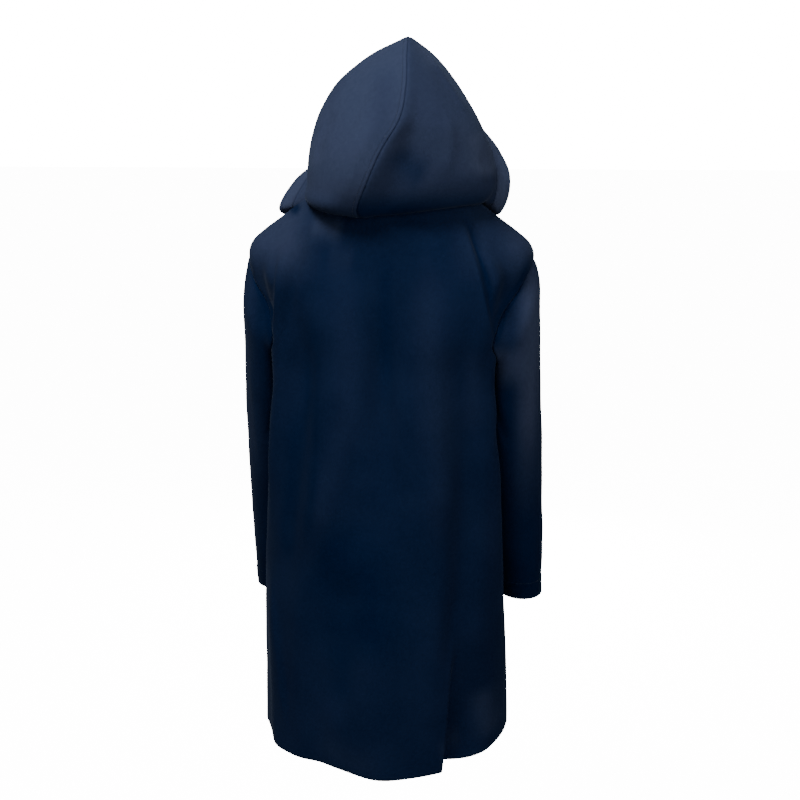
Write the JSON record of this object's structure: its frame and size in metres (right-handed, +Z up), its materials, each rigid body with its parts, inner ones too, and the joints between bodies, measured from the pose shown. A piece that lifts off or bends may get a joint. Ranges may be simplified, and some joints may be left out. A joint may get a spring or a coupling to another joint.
{
  "type": "duffle coat",
  "caption": "Knee-length hooded wool duffle coat in its worn form with the hood up, lapped at the front under horn toggles and cord loops.",
  "frame": {"origin": "middle of the neck opening, level with the nape, where the coat hangs from the wearer's neck and shoulders", "axes": "+Z up from the hem to the hood, +Y to the back, so the wearer faces -Y, and +X to the wearer's left"},
  "size_m": [0.53, 0.3846, 1.203],
  "materials": {
    "melton": "heavy felted navy wool melton with a short nap",
    "horn": "polished dark brown horn",
    "leather": "smooth dark brown leather",
    "cord": "twisted dark navy cord"
  },
  "bodies": {
    "root": {"back": "melton", "front_left": "melton", "front_right": "melton", "sleeve_left": "melton", "sleeve_right": "melton", "hood_left": "melton", "hood_right": "melton", "hood_band": "melton", "patch_right_1": "leather", "patch_left_1": "leather", "loop_1": "cord", "tether_1": "cord", "toggle_1": "horn", "patch_right_2": "leather", "patch_left_2": "leather", "loop_2": "cord", "tether_2": "cord", "toggle_2": "horn", "patch_right_3": "leather", "patch_left_3": "leather", "loop_3": "cord", "tether_3": "cord", "toggle_3": "horn", "patch_right_4": "leather", "patch_left_4": "leather", "loop_4": "cord", "tether_4": "cord", "toggle_4": "horn"}
  },
  "joints": []
}
